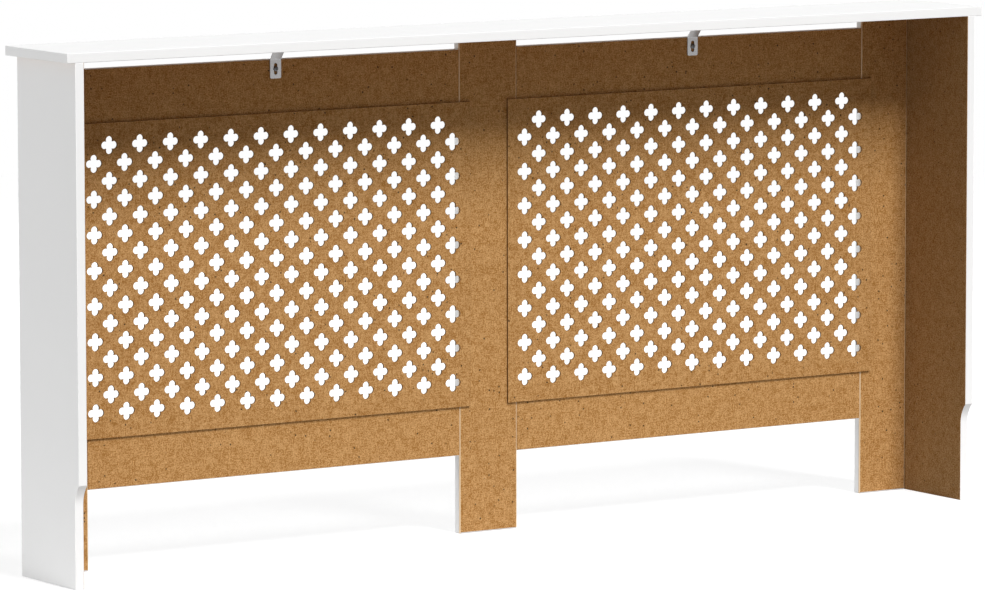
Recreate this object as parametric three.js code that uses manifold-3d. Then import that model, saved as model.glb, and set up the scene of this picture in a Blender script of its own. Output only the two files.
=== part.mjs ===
// Radiator cover cabinet in painted fibreboard. Millimetres, +Z up.
// X runs along the length. The front, with its two grilles, faces -Y, and the open back faces +Y.
// The origin is on the floor, under the middle of the shelf.
// Left and right are those of a person who stands in front of the cover.

import * as THREE from 'three';
import { mergeVertices } from 'three/addons/utils/BufferGeometryUtils.js';
import Module from 'manifold-3d';

const wasm = await Module();
wasm.setup();

// ---- Driving dimensions ----

const SHELF_LENGTH = 1720;
const SHELF_DEPTH = 190;
const SHELF_THICKNESS = 15;
const END_OVERHANG = 14;          // shelf past each side panel
const FRONT_OVERHANG = 11.5;      // shelf past the front frame
const BODY_HEIGHT = 800;          // floor to the underside of the shelf

const SIDE_THICKNESS = 15;
const NOTCH_TOP = 160.5;          // where the skirting notch leaves the rear edge
const NOTCH_DEPTH = 12.5;
const NOTCH_RADIUS = 47;          // cove between the notch and the rear edge

const FRAME_THICKNESS = 15;
const CENTRE_STILE_WIDTH = 110;
const END_STILE_WIDTH = 94.5;
const HEAT_SLOT_HEIGHT = 25;      // open air between the top rails and the shelf
const TOP_RAIL_HEIGHT = 100;
const BOTTOM_RAIL_HEIGHT = 100;
const FOOT_GAP = 126;             // open air under the bottom rails

const GRILLE_THICKNESS = 3;
const GRILLE_END_LAP = 19.25;     // grille over the stiles
const GRILLE_TOP_LAP = 16.5;      // grille over the top rail
const GRILLE_FOOT_LAP = 21.5;     // grille over the bottom rail
const COLUMN_PITCH = 27.25;       // from one column of holes to the next, staggered one
const ROW_PITCH = 27.5;           // from one row of holes to the next, staggered one
const LOBE_RADIUS = 6;
const LOBE_REACH = 8;             // hole centre to lobe centre
const PLAIN_BORDER = 18;          // unpierced edge of a grille

const BRACKET_WIDTH = 20;
const BRACKET_THICKNESS = 2;
const BRACKET_LEG = 30;           // down the back of the top rail
const BRACKET_REACH = 20;         // rearward run of the sloping part
const BRACKET_FOOT = 32;          // flat part under the shelf
const BRACKET_BEND = 2.5;         // inner radius of its two bends
const SLOT_LENGTH = 18;
const SLOT_WIDTH = 6;

const SCREW_DIAMETER = 4;
const SCREW_HEAD_DIAMETER = 8;
const SCREW_HEAD_HEIGHT = 2.4;
const SCREW_POINT = 2;
const SCREW_COVER = 4;            // board left past the screw's point

const DOWEL_DIAMETER = 8;
const DOWEL_LENGTH = 30;
const DOWEL_COVER = 5;            // board left past a dowel that enters through a face
const RAIL_DOWEL_INSET = 22;      // from a rail's long edges to its dowels
const STILE_DOWEL_INSET = 60;     // from a stile's ends to its first and last dowels
const STILE_DOWELS = 3;           // between each end stile and its side panel
const SHELF_DOWEL_INSET = 42;     // from a side panel's front and rear edges to its dowels

const CLEARANCE = 0.3;            // round everything that sits in a bore

// Facets of the round forms
const NOTCH_STEPS = 3;
const LOBE_STEPS = 1;
const SLOT_STEPS = 2;
const BEND_STEPS = 2;
const DOWEL_SIDES = 6;
const SCREW_SIDES = 8;

// ---- Places that follow from them ----

const bodyHalf = SHELF_LENGTH / 2 - END_OVERHANG;
const sideInner = bodyHalf - SIDE_THICKNESS;
const bodyRear = SHELF_DEPTH / 2;
const bodyFront = FRONT_OVERHANG - SHELF_DEPTH / 2;
const frameMiddle = bodyFront + FRAME_THICKNESS / 2;
const frameBack = bodyFront + FRAME_THICKNESS;

const bayInner = CENTRE_STILE_WIDTH / 2;
const bayOuter = sideInner - END_STILE_WIDTH;
const bayLength = bayOuter - bayInner;
const bayMiddle = (bayInner + bayOuter) / 2;

const railTop = BODY_HEIGHT - HEAT_SLOT_HEIGHT;
const windowTop = railTop - TOP_RAIL_HEIGHT;
const windowFoot = FOOT_GAP + BOTTOM_RAIL_HEIGHT;

// From the back of the frame to the middle of the bracket's flat part.
const shelfScrewReach = BRACKET_REACH + BRACKET_FOOT / 2;

const SIDES = [{ name: 'left', sign: -1 }, { name: 'right', sign: 1 }];

// ---- Finishes ----

const finish = (color, roughness, metalness) => () =>
  new THREE.MeshStandardMaterial({ color, roughness, metalness });

const whitePaint = finish(0xf1f1ee, 0.45, 0);
const beech = finish(0xc9a26b, 0.7, 0);
const zinc = finish(0xa8a5a0, 0.4, 0.9);

// ---- Joining and cutting ----

function toSolid(geometry) {
  const bare = geometry.clone();
  bare.deleteAttribute('normal');
  bare.deleteAttribute('uv');
  const merged = mergeVertices(bare);
  return new wasm.Manifold(new wasm.Mesh({
    numProp: 3,
    vertProperties: merged.attributes.position.array,
    triVerts: new Uint32Array(merged.index.array),
  }));
}

function toGeometry(solid) {
  const mesh = solid.getMesh();
  const geometry = new THREE.BufferGeometry();
  geometry.setAttribute('position', new THREE.BufferAttribute(mesh.vertProperties, 3));
  geometry.setIndex(new THREE.BufferAttribute(mesh.triVerts, 1));
  geometry.computeVertexNormals();
  return geometry;
}

function cut(geometry, tools) {
  const rest = tools.reduce((solid, tool) => solid.subtract(toSolid(tool)), toSolid(geometry));
  return toGeometry(rest);
}

// Turns a flat outline, drawn in two of the cabinet's axes, so that it stands in them.
const acrossX = new THREE.Matrix4().makeBasis(
  new THREE.Vector3(0, 1, 0), new THREE.Vector3(0, 0, 1), new THREE.Vector3(1, 0, 0));
const acrossY = new THREE.Matrix4().makeBasis(
  new THREE.Vector3(1, 0, 0), new THREE.Vector3(0, 0, 1), new THREE.Vector3(0, -1, 0));

function extrude(shape, depth, curveSegments) {
  return new THREE.ExtrudeGeometry(shape, { depth, curveSegments, bevelEnabled: false });
}

function place(name, geometry, material, x, y, z) {
  const mesh = new THREE.Mesh(geometry, material());
  mesh.name = name;
  mesh.position.set(x, y, z);
  return mesh;
}

// ---- Dowels ----

const roundBar = (diameter, length) =>
  new THREE.CylinderGeometry(diameter / 2, diameter / 2, length, DOWEL_SIDES);

// Along X unless upright.
const alongItsAxis = (dowel, bar) => (dowel.upright ? bar.rotateX(Math.PI / 2) : bar.rotateZ(Math.PI / 2));

function railDowels() {
  const rails = [
    { name: 'top_rail', foot: windowTop, top: railTop },
    { name: 'bottom_rail', foot: FOOT_GAP, top: windowFoot },
  ];
  return SIDES.flatMap(({ name, sign }) => rails.flatMap((rail) => [
    { x: bayInner, stile: 'centre_stile', end: 'inner' },
    { x: bayOuter, stile: `${name}_stile`, end: 'outer' },
  ].flatMap(({ x, stile, end }) => [
    { z: rail.foot + RAIL_DOWEL_INSET, level: 'lower' },
    { z: rail.top - RAIL_DOWEL_INSET, level: 'upper' },
  ].map(({ z, level }) => ({
    name: `${name}_${rail.name}_${end}_${level}_dowel`,
    boards: [`${name}_${rail.name}`, stile],
    at: new THREE.Vector3(sign * x, frameMiddle, z),
  })))));
}

function stileDowels() {
  const step = (BODY_HEIGHT - 2 * STILE_DOWEL_INSET) / (STILE_DOWELS - 1);
  const x = sideInner + SIDE_THICKNESS - DOWEL_COVER - DOWEL_LENGTH / 2;
  return SIDES.flatMap(({ name, sign }) => Array.from({ length: STILE_DOWELS }, (_, i) => ({
    name: `${name}_side_dowel_${i + 1}`,
    boards: [`${name}_side_panel`, `${name}_stile`],
    at: new THREE.Vector3(sign * x, frameMiddle, STILE_DOWEL_INSET + i * step),
  })));
}

function shelfDowels() {
  const z = BODY_HEIGHT + SHELF_THICKNESS - DOWEL_COVER - DOWEL_LENGTH / 2;
  return SIDES.flatMap(({ name, sign }) => [
    { y: bodyFront + SHELF_DOWEL_INSET, end: 'front' },
    { y: bodyRear - SHELF_DOWEL_INSET, end: 'rear' },
  ].map(({ y, end }) => ({
    name: `${name}_shelf_${end}_dowel`,
    boards: [`${name}_side_panel`, 'top_shelf'],
    at: new THREE.Vector3(sign * (sideInner + SIDE_THICKNESS / 2), y, z),
    upright: true,
  })));
}

const dowels = [...railDowels(), ...stileDowels(), ...shelfDowels()];

function makeDowel(dowel) {
  const bar = alongItsAxis(dowel, roundBar(DOWEL_DIAMETER, DOWEL_LENGTH));
  return place(dowel.name, bar, beech, dowel.at.x, dowel.at.y, dowel.at.z);
}

function dowelBore(dowel) {
  const bore = roundBar(DOWEL_DIAMETER + 2 * CLEARANCE, DOWEL_LENGTH + 2 * CLEARANCE);
  return alongItsAxis(dowel, bore).translate(dowel.at.x, dowel.at.y, dowel.at.z);
}

// ---- Screws ----

// Two to a bracket: one up into the shelf, and one forwards through the slot into the top rail.
const screws = SIDES.flatMap(({ name, sign }) => [
  {
    name: `${name}_shelf_screw`,
    board: 'top_shelf',
    at: new THREE.Vector3(sign * bayMiddle, frameBack + shelfScrewReach, BODY_HEIGHT - BRACKET_THICKNESS),
    turn: Math.PI / 2,
    grip: SHELF_THICKNESS - SCREW_COVER,
  },
  {
    name: `${name}_rail_screw`,
    board: `${name}_top_rail`,
    at: new THREE.Vector3(sign * bayMiddle, frameBack + BRACKET_THICKNESS, railTop - BRACKET_LEG / 2),
    turn: Math.PI,
    grip: FRAME_THICKNESS - SCREW_COVER,
  },
]);

function screwHole(length) {
  const radius = SCREW_DIAMETER / 2 + CLEARANCE;
  return new THREE.CylinderGeometry(radius, radius, length, SCREW_SIDES);
}

// The pilot bore, from under the screw's head to past its point.
function screwBore({ at, turn, grip }) {
  const depth = BRACKET_THICKNESS + grip + CLEARANCE;
  return screwHole(depth).translate(0, depth / 2, 0).rotateX(turn).translate(at.x, at.y, at.z);
}

// Pan head under the bracket, which the shank passes through. Drawn with its point towards +Y.
function makeScrew({ name, at, turn, grip }) {
  const shank = SCREW_DIAMETER / 2;
  const head = SCREW_HEAD_DIAMETER / 2;
  const tip = BRACKET_THICKNESS + grip;
  const profile = [
    [0, -SCREW_HEAD_HEIGHT], [head / 2, -SCREW_HEAD_HEIGHT], [head, -SCREW_HEAD_HEIGHT / 2],
    [head, 0], [shank, 0], [shank, tip - SCREW_POINT], [0, tip],
  ].map(([radius, height]) => new THREE.Vector2(radius, height));
  const screw = new THREE.LatheGeometry(profile, SCREW_SIDES).rotateX(turn);
  return place(name, toGeometry(toSolid(screw)), zinc, at.x, at.y, at.z);
}

// ---- Boards ----

// The bores of one board, in the board's own coordinates.
function boresOf(board, x, y, z) {
  const forDowels = dowels.filter(({ boards }) => boards.includes(board)).map(dowelBore);
  const forScrews = screws.filter((screw) => screw.board === board).map(screwBore);
  return [...forDowels, ...forScrews].map((bore) => bore.translate(-x, -y, -z));
}

// A plain board between two corners.
function makeBoard(name, low, high) {
  const size = high.clone().sub(low);
  const { x, y, z } = low.clone().add(high).multiplyScalar(0.5);
  const blank = new THREE.BoxGeometry(size.x, size.y, size.z);
  return place(name, cut(blank, boresOf(name, x, y, z)), whitePaint, x, y, z);
}

function makeShelf() {
  const low = new THREE.Vector3(-SHELF_LENGTH / 2, -SHELF_DEPTH / 2, BODY_HEIGHT);
  const high = new THREE.Vector3(SHELF_LENGTH / 2, SHELF_DEPTH / 2, BODY_HEIGHT + SHELF_THICKNESS);
  return makeBoard('top_shelf', low, high);
}

// The side panel's outline in Y and Z, with the notch that lets it pass a skirting board.
function sideOutline() {
  const notchFace = bodyRear - NOTCH_DEPTH;
  const coveCentre = notchFace + NOTCH_RADIUS;
  const coveRise = Math.sqrt(NOTCH_RADIUS ** 2 - (coveCentre - bodyRear) ** 2);
  const coveFoot = NOTCH_TOP - coveRise;
  const coveEnd = Math.PI - Math.atan2(coveRise, coveCentre - bodyRear);
  const outline = new THREE.Shape();
  outline.moveTo(bodyFront, 0);
  outline.lineTo(notchFace, 0);
  outline.lineTo(notchFace, coveFoot);
  outline.absarc(coveCentre, coveFoot, NOTCH_RADIUS, Math.PI, coveEnd, true);
  outline.lineTo(bodyRear, BODY_HEIGHT);
  outline.lineTo(bodyFront, BODY_HEIGHT);
  outline.closePath();
  return outline;
}

function makeSidePanel({ name, sign }) {
  const x = sign > 0 ? sideInner : -bodyHalf;
  const panel = `${name}_side_panel`;
  const blank = extrude(sideOutline(), SIDE_THICKNESS, NOTCH_STEPS).applyMatrix4(acrossX);
  return place(panel, cut(blank, boresOf(panel, x, 0, 0)), whitePaint, x, 0, 0);
}

// A board of the front frame, between two places along X and two heights.
function makeFrameBoard(name, x1, x2, z1, z2) {
  const low = new THREE.Vector3(Math.min(x1, x2), bodyFront, z1);
  const high = new THREE.Vector3(Math.max(x1, x2), frameBack, z2);
  return makeBoard(name, low, high);
}

function makeFrame() {
  const bays = SIDES.flatMap(({ name, sign }) => [
    makeFrameBoard(`${name}_stile`, sign * bayOuter, sign * sideInner, 0, BODY_HEIGHT),
    makeFrameBoard(`${name}_top_rail`, sign * bayInner, sign * bayOuter, windowTop, railTop),
    makeFrameBoard(`${name}_bottom_rail`, sign * bayInner, sign * bayOuter, FOOT_GAP, windowFoot),
  ]);
  return [makeFrameBoard('centre_stile', -bayInner, bayInner, 0, BODY_HEIGHT), ...bays];
}

// ---- Grilles ----

// A quatrefoil: four round lobes that meet in four cusps on the diagonals.
function quatrefoil(x, z) {
  const cusp = LOBE_REACH / 2 + Math.sqrt(LOBE_RADIUS ** 2 / 2 - LOBE_REACH ** 2 / 4);
  const halfTurn = Math.atan2(cusp, cusp - LOBE_REACH);
  const hole = new THREE.Path();
  hole.moveTo(x + cusp, z - cusp);
  for (let lobe = 0; lobe < 4; lobe += 1) {
    const facing = lobe * Math.PI / 2;
    const lobeX = x + LOBE_REACH * Math.cos(facing);
    const lobeZ = z + LOBE_REACH * Math.sin(facing);
    hole.absarc(lobeX, lobeZ, LOBE_RADIUS, facing - halfTurn, facing + halfTurn, false);
  }
  return hole;
}

// The lattice: every second place of a grid, so that each column is staggered to the next.
function latticeHoles(length, height, middleZ) {
  const reach = LOBE_REACH + LOBE_RADIUS + PLAIN_BORDER;
  const columns = Math.floor((length / 2 - reach) / COLUMN_PITCH);
  const rows = Math.floor((height - 2 * reach) / ROW_PITCH) + 1;
  const topRow = middleZ + (rows - 1) * ROW_PITCH / 2;
  const holes = [];
  for (let column = -columns; column <= columns; column += 1) {
    for (let row = 0; row < rows; row += 1) {
      const pierced = (column + columns + row) % 2 === 1;
      if (pierced) holes.push(quatrefoil(column * COLUMN_PITCH, topRow - row * ROW_PITCH));
    }
  }
  return holes;
}

function makeGrille({ name, sign }) {
  const length = bayLength + 2 * GRILLE_END_LAP;
  const foot = windowFoot - GRILLE_FOOT_LAP;
  const top = windowTop + GRILLE_TOP_LAP;
  const panel = new THREE.Shape();
  panel.moveTo(-length / 2, foot);
  panel.lineTo(length / 2, foot);
  panel.lineTo(length / 2, top);
  panel.lineTo(-length / 2, top);
  panel.closePath();
  panel.holes = latticeHoles(length, top - foot, (windowTop + windowFoot) / 2);
  const blank = extrude(panel, GRILLE_THICKNESS, LOBE_STEPS).applyMatrix4(acrossY);
  const back = frameBack + GRILLE_THICKNESS;
  return place(`${name}_grille`, blank, whitePaint, sign * bayMiddle, back, 0);
}

// ---- Brackets ----

// The outline of a strip that follows a route of straight runs and bends to the right at each corner.
function stripOutline(route, thickness, bendRadius) {
  const half = thickness / 2;
  const middleRadius = bendRadius + half;
  const runs = route.slice(1).map((point, i) => point.clone().sub(route[i]).normalize());
  const leftOf = (run) => new THREE.Vector2(-run.y, run.x);
  const beside = (point, run, offset) => point.clone().addScaledVector(leftOf(run), offset);
  const bends = runs.slice(1).map((next, i) => {
    const run = runs[i];
    const tangent = middleRadius * Math.tan(Math.acos(run.dot(next)) / 2);
    const centre = beside(route[i + 1].clone().addScaledVector(run, -tangent), run, -middleRadius);
    return { centre, from: leftOf(run).angle(), to: leftOf(next).angle() };
  });
  const outline = new THREE.Shape();
  const start = beside(route[0], runs[0], half);
  outline.moveTo(start.x, start.y);
  const far = beside(route[route.length - 1], runs[runs.length - 1], half);
  const farBelow = beside(route[route.length - 1], runs[runs.length - 1], -half);
  const end = beside(route[0], runs[0], -half);
  bends.forEach(({ centre, from, to }) => {
    outline.lineTo(
      centre.x + (middleRadius + half) * Math.cos(from),
      centre.y + (middleRadius + half) * Math.sin(from));
    outline.absarc(centre.x, centre.y, middleRadius + half, from, to, true);
  });
  outline.lineTo(far.x, far.y);
  outline.lineTo(farBelow.x, farBelow.y);
  bends.reverse().forEach(({ centre, from, to }) => {
    outline.absarc(centre.x, centre.y, bendRadius, to, from, false);
  });
  outline.lineTo(end.x, end.y);
  outline.closePath();
  return outline;
}

// The slot in the bracket's leg, drawn in X and Z round its own middle.
function slotOutline() {
  const straight = (SLOT_LENGTH - SLOT_WIDTH) / 2;
  const slot = new THREE.Shape();
  slot.moveTo(SLOT_WIDTH / 2, -straight);
  slot.lineTo(SLOT_WIDTH / 2, straight);
  slot.absarc(0, straight, SLOT_WIDTH / 2, 0, Math.PI, false);
  slot.absarc(0, -straight, SLOT_WIDTH / 2, Math.PI, 2 * Math.PI, false);
  return slot;
}

// Drawn in Y and Z from the upper rear edge of the top rail.
function makeBracket({ name, sign }) {
  const half = BRACKET_THICKNESS / 2;
  const route = [
    new THREE.Vector2(half, -BRACKET_LEG),
    new THREE.Vector2(half, 0),
    new THREE.Vector2(BRACKET_REACH, HEAT_SLOT_HEIGHT - half),
    new THREE.Vector2(BRACKET_REACH + BRACKET_FOOT, HEAT_SLOT_HEIGHT - half),
  ];
  const outline = stripOutline(route, BRACKET_THICKNESS, BRACKET_BEND);
  const strip = extrude(outline, BRACKET_WIDTH, BEND_STEPS).applyMatrix4(acrossX)
    .translate(-BRACKET_WIDTH / 2, 0, 0);
  const slot = extrude(slotOutline(), 3 * BRACKET_THICKNESS, SLOT_STEPS).applyMatrix4(acrossY)
    .translate(0, 2 * BRACKET_THICKNESS, -BRACKET_LEG / 2);
  const hole = screwHole(3 * BRACKET_THICKNESS).rotateX(Math.PI / 2)
    .translate(0, shelfScrewReach, HEAT_SLOT_HEIGHT - half);
  const geometry = cut(strip, [slot, hole]);
  return place(`${name}_bracket`, geometry, zinc, sign * bayMiddle, frameBack, railTop);
}

// ---- The cabinet ----

const cabinet = new THREE.Group();
cabinet.add(
  makeShelf(),
  ...SIDES.map(makeSidePanel),
  ...makeFrame(),
  ...SIDES.map(makeGrille),
  ...SIDES.map(makeBracket),
  ...screws.map(makeScrew),
  ...dowels.map(makeDowel),
);

export default cabinet;
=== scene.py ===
"""Radiator cover: dresses its boards, grilles, brackets, screws and dowels, and lights them."""

import math

import bmesh
import bpy
from mathutils import Matrix, Vector


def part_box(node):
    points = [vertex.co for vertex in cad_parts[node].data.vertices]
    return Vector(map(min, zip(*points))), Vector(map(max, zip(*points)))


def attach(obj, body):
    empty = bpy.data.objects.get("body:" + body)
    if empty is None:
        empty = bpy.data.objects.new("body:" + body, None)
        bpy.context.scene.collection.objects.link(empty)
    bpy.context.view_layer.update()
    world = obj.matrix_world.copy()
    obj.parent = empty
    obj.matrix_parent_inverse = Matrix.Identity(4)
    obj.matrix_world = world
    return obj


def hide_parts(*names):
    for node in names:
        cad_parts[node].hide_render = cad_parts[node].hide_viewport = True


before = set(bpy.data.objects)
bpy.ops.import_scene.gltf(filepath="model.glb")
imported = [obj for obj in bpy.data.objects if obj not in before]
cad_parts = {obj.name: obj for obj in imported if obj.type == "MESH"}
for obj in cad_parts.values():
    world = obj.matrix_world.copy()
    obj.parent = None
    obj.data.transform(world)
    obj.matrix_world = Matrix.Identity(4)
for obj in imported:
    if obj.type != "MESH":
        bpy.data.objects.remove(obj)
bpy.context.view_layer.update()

bl_info = {
    "name": "Radiator Cover",
    "version": (1, 0, 0),
    "blender": (4, 5, 0),
    "location": "3D View > Sidebar > Radiator Cover",
    "description": "Boards, pierced grilles, brackets and joints of a painted radiator cover",
    "category": "Add Mesh",
}

MM = 0.001
SIDES = ("left", "right")

# The photograph's frame and the place it was taken from
IMAGE_WIDTH = 985
SENSOR = 36.0  # mm
FOCAL_PIXELS = 6643.73
CAMERA_AZIMUTH = 146.64
CAMERA_ELEVATION = 6.66
CAMERA_ROLL = 0.08
CAMERA_TARGET = Vector((36.8, 0.0, 385.92)) * MM
CAMERA_DISTANCE = 10507.9 * MM

SHARP_ANGLE = math.radians(35)  # edges that meet at more than this stay sharp
FLAT = 0.9995  # a face whose normal lies this much along an axis is part of a flat side
TOUCHING = 0.01 * MM  # points closer than this are at one place


# ---- Sizes and colours that a user would change ----


class RadiatorCoverSizes(bpy.types.PropertyGroup):
    """Sizes of the fine shapes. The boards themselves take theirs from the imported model."""

    arris: bpy.props.FloatProperty(
        name="Arris",
        description="Rounding of the long edges of the boards",
        default=0.8 * MM,
        min=0.1 * MM,
        max=3 * MM,
        precision=4,
        unit="LENGTH",
        subtype="DISTANCE",
    )
    hole_ease: bpy.props.FloatProperty(
        name="Hole ease",
        description="Chamfer round the grille holes and the edge of the grille",
        default=0.25 * MM,
        min=0.05 * MM,
        max=1 * MM,
        precision=5,
        unit="LENGTH",
        subtype="DISTANCE",
    )
    lobe_radius: bpy.props.FloatProperty(
        name="Lobe radius",
        description="Radius of each of the four lobes of a hole",
        default=6 * MM,
        precision=4,
        unit="LENGTH",
        subtype="DISTANCE",
    )
    lobe_reach: bpy.props.FloatProperty(
        name="Lobe reach",
        description="From the middle of a hole to the middle of a lobe",
        default=8 * MM,
        precision=4,
        unit="LENGTH",
        subtype="DISTANCE",
    )
    lobe_steps: bpy.props.IntProperty(
        name="Lobe steps",
        description="Straight edges to a lobe, an even number",
        default=8,
        min=2,
        max=24,
        step=2,
    )
    column_pitch: bpy.props.FloatProperty(
        name="Column pitch",
        description="From one column of holes to the next, staggered one",
        default=27.25 * MM,
        precision=5,
        unit="LENGTH",
        subtype="DISTANCE",
    )
    row_pitch: bpy.props.FloatProperty(
        name="Row pitch",
        description="From one row of holes to the next, staggered one",
        default=27.5 * MM,
        precision=5,
        unit="LENGTH",
        subtype="DISTANCE",
    )
    plain_border: bpy.props.FloatProperty(
        name="Plain border",
        description="Least unpierced edge of a grille",
        default=18 * MM,
        precision=4,
        unit="LENGTH",
        subtype="DISTANCE",
    )


class RadiatorCoverColours(bpy.types.PropertyGroup):
    """Colours of the finishes."""

    paint: bpy.props.FloatVectorProperty(
        name="Paint",
        description="Satin paint on the faces and edges that show from the room",
        default=(0.8, 0.8, 0.798),
        size=3,
        min=0,
        max=1,
        subtype="COLOR",
    )
    board: bpy.props.FloatVectorProperty(
        name="Bare board",
        description="Unpainted fibreboard on the inner faces",
        default=(0.452, 0.236, 0.08),
        size=3,
        min=0,
        max=1,
        subtype="COLOR",
    )
    zinc: bpy.props.FloatVectorProperty(
        name="Zinc",
        description="Plating of the brackets and screws",
        default=(0.41, 0.41, 0.415),
        size=3,
        min=0,
        max=1,
        subtype="COLOR",
    )
    beech: bpy.props.FloatVectorProperty(
        name="Beech",
        description="Bare wood of the dowels",
        default=(0.6, 0.38, 0.19),
        size=3,
        min=0,
        max=1,
        subtype="COLOR",
    )


def sizes():
    return bpy.context.scene.radiator_cover_sizes


def colours():
    return bpy.context.scene.radiator_cover_colours


# ---- Shader maths ----


class Field:
    """A shader socket that takes part in Python expressions, each of which adds its Math nodes."""

    def __init__(self, shading, socket):
        self.shading = shading
        self.socket = socket

    def maths(self, operation, *values):
        inputs = dict(enumerate(values))
        return self.shading.field("ShaderNodeMath", {"operation": operation}, inputs)

    def __add__(self, other):
        return self.maths("ADD", self, other)

    def __radd__(self, other):
        return self.maths("ADD", other, self)

    def __sub__(self, other):
        return self.maths("SUBTRACT", self, other)

    def __rsub__(self, other):
        return self.maths("SUBTRACT", other, self)

    def __mul__(self, other):
        return self.maths("MULTIPLY", self, other)

    def __rmul__(self, other):
        return self.maths("MULTIPLY", other, self)

    def __gt__(self, other):
        return self.maths("GREATER_THAN", self, other)

    def at_least(self, other):
        return self.maths("MAXIMUM", self, other)


class Shading:
    """A node tree in the making."""

    def __init__(self, tree):
        self.tree = tree
        tree.nodes.clear()

    def node(self, kind, settings=None, inputs=None):
        """Adds a node: its settings come first, then the values or links of its sockets."""
        node = self.tree.nodes.new(kind)
        for name, value in (settings or {}).items():
            setattr(node, name, value)
        for key, value in (inputs or {}).items():
            self.feed(node.inputs[key], value)
        return node

    def feed(self, socket, value):
        if isinstance(value, Field):
            self.tree.links.new(value.socket, socket)
        elif socket.type == "RGBA":
            socket.default_value = (*value[:3], 1.0)
        else:
            socket.default_value = value

    def field(self, kind, settings=None, inputs=None, output=0):
        return Field(self, self.node(kind, settings, inputs).outputs[output])

    def mix(self, factor, first, second):
        """From one colour to another."""
        inputs = {"Factor": factor, 6: first, 7: second}
        return self.field("ShaderNodeMix", {"data_type": "RGBA"}, inputs, 2)

    def dim(self, colour, factor):
        """A colour times a number or a field."""
        inputs = {0: colour, "Scale": factor}
        return self.field("ShaderNodeVectorMath", {"operation": "SCALE"}, inputs)

    def stretch(self, vector, scale):
        """A vector times another, part by part."""
        inputs = {0: vector, 1: scale}
        return self.field("ShaderNodeVectorMath", {"operation": "MULTIPLY"}, inputs)

    def shift(self, vector, step):
        """The sum of two vectors."""
        return self.field("ShaderNodeVectorMath", {"operation": "ADD"}, {0: vector, 1: step})

    def length(self, vector):
        return self.field("ShaderNodeVectorMath", {"operation": "LENGTH"}, {0: vector}, "Value")

    def noise(self, place, per_metre, detail=2.0, roughness=0.5):
        """Even noise from 0 to 1, centred on a half."""
        inputs = {"Vector": place, "Scale": per_metre, "Detail": detail, "Roughness": roughness}
        return self.field("ShaderNodeTexNoise", {}, inputs)

    def cells(self, place, per_metre, output):
        """Scattered points: their distance in cells, or a random colour for each."""
        inputs = {"Vector": place, "Scale": per_metre}
        return self.field("ShaderNodeTexVoronoi", {}, inputs, output)

    def chance(self, place, per_metre):
        """A random number for each cell, from 0 to 1."""
        colour = self.cells(place, per_metre, "Color")
        return self.field("ShaderNodeSeparateColor", {}, {"Color": colour})

    def ramp(self, value, low, high):
        """0 up to low, 1 from high, and smooth between them."""
        inputs = {"Value": value, "From Min": low, "From Max": high}
        return self.field("ShaderNodeMapRange", {"interpolation_type": "SMOOTHSTEP"}, inputs)

    def bump(self, height, distance, strength=1.0):
        inputs = {"Height": height, "Distance": distance, "Strength": strength}
        return self.field("ShaderNodeBump", {}, inputs)


class Finish(Shading):
    """A material with one principled surface."""

    def __init__(self, name):
        self.material = bpy.data.materials.new(name)
        self.material.use_nodes = True
        super().__init__(self.material.node_tree)
        self.place = self.field("ShaderNodeTexCoord", output="Object")

    def surface(self, inputs):
        shader = self.field("ShaderNodeBsdfPrincipled", {}, inputs)
        self.node("ShaderNodeOutputMaterial", {}, {"Surface": shader})
        return self.material


# ---- Finishes ----

# How many there are to a metre. Where there are three numbers, they are along X, Y and Z.
ORANGE_PEEL = 650
SHEEN_DRIFT = 9
FIBRES = 480
STRANDS = (420, 420, 110)
CROSSINGS = (110, 420, 420)
MOTTLES = 70
BOARD_DRIFT = 7
SPECKS = 110
WANDERS = 240
CRYSTALS = 420
SCUFFS = (2400, 2400, 160)
DULLED_PATCHES = 160
STREAKS_ALONG, STREAKS_ACROSS = 60, 1500
BANDS_ALONG, BANDS_ACROSS = 14, 420

# How high they stand
PEEL_HEIGHT = 0.04 * MM
FIBRE_HEIGHT = 0.12 * MM
SCUFF_HEIGHT = 0.01 * MM
GRAIN_HEIGHT = 0.05 * MM

DARK_FIBRE = (0.67, 0.54, 0.27)  # times the board's colour
PALE_FIBRE = (1.33, 1.46, 1.73)
SPECK_LEAST = 0.8  # a cell has a speck where its random number is above this
SPECK_EDGE = (0.1, 0.22)  # from full to nothing, in cells
SPECK_DEPTH = 0.85
WANDER_REACH = 2 * MM  # pushes the specks out of round
RAY_EDGE = (0.6, 0.7)


def tinted(colour, tint):
    """A colour times another, as plain numbers."""
    return [part * hue for part, hue in zip(colour, tint)]


def satin_paint(name, tint=(1.0, 1.0, 1.0)):
    """White paint with the faint orange peel of a roller and a little unevenness of its sheen."""
    finish = Finish(name)
    peel = finish.noise(finish.place, ORANGE_PEEL, 2.0, 0.55)
    drift = finish.noise(finish.place, SHEEN_DRIFT, 3.0)
    return finish.surface(
        {
            "Base Color": finish.dim(tinted(colours().paint, tint), 0.985 + 0.03 * drift),
            "Roughness": 0.4 + 0.14 * drift + 0.06 * peel,
            "Specular IOR Level": 0.4,
            "Normal": finish.bump(peel, PEEL_HEIGHT, 0.6),
        }
    )


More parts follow.
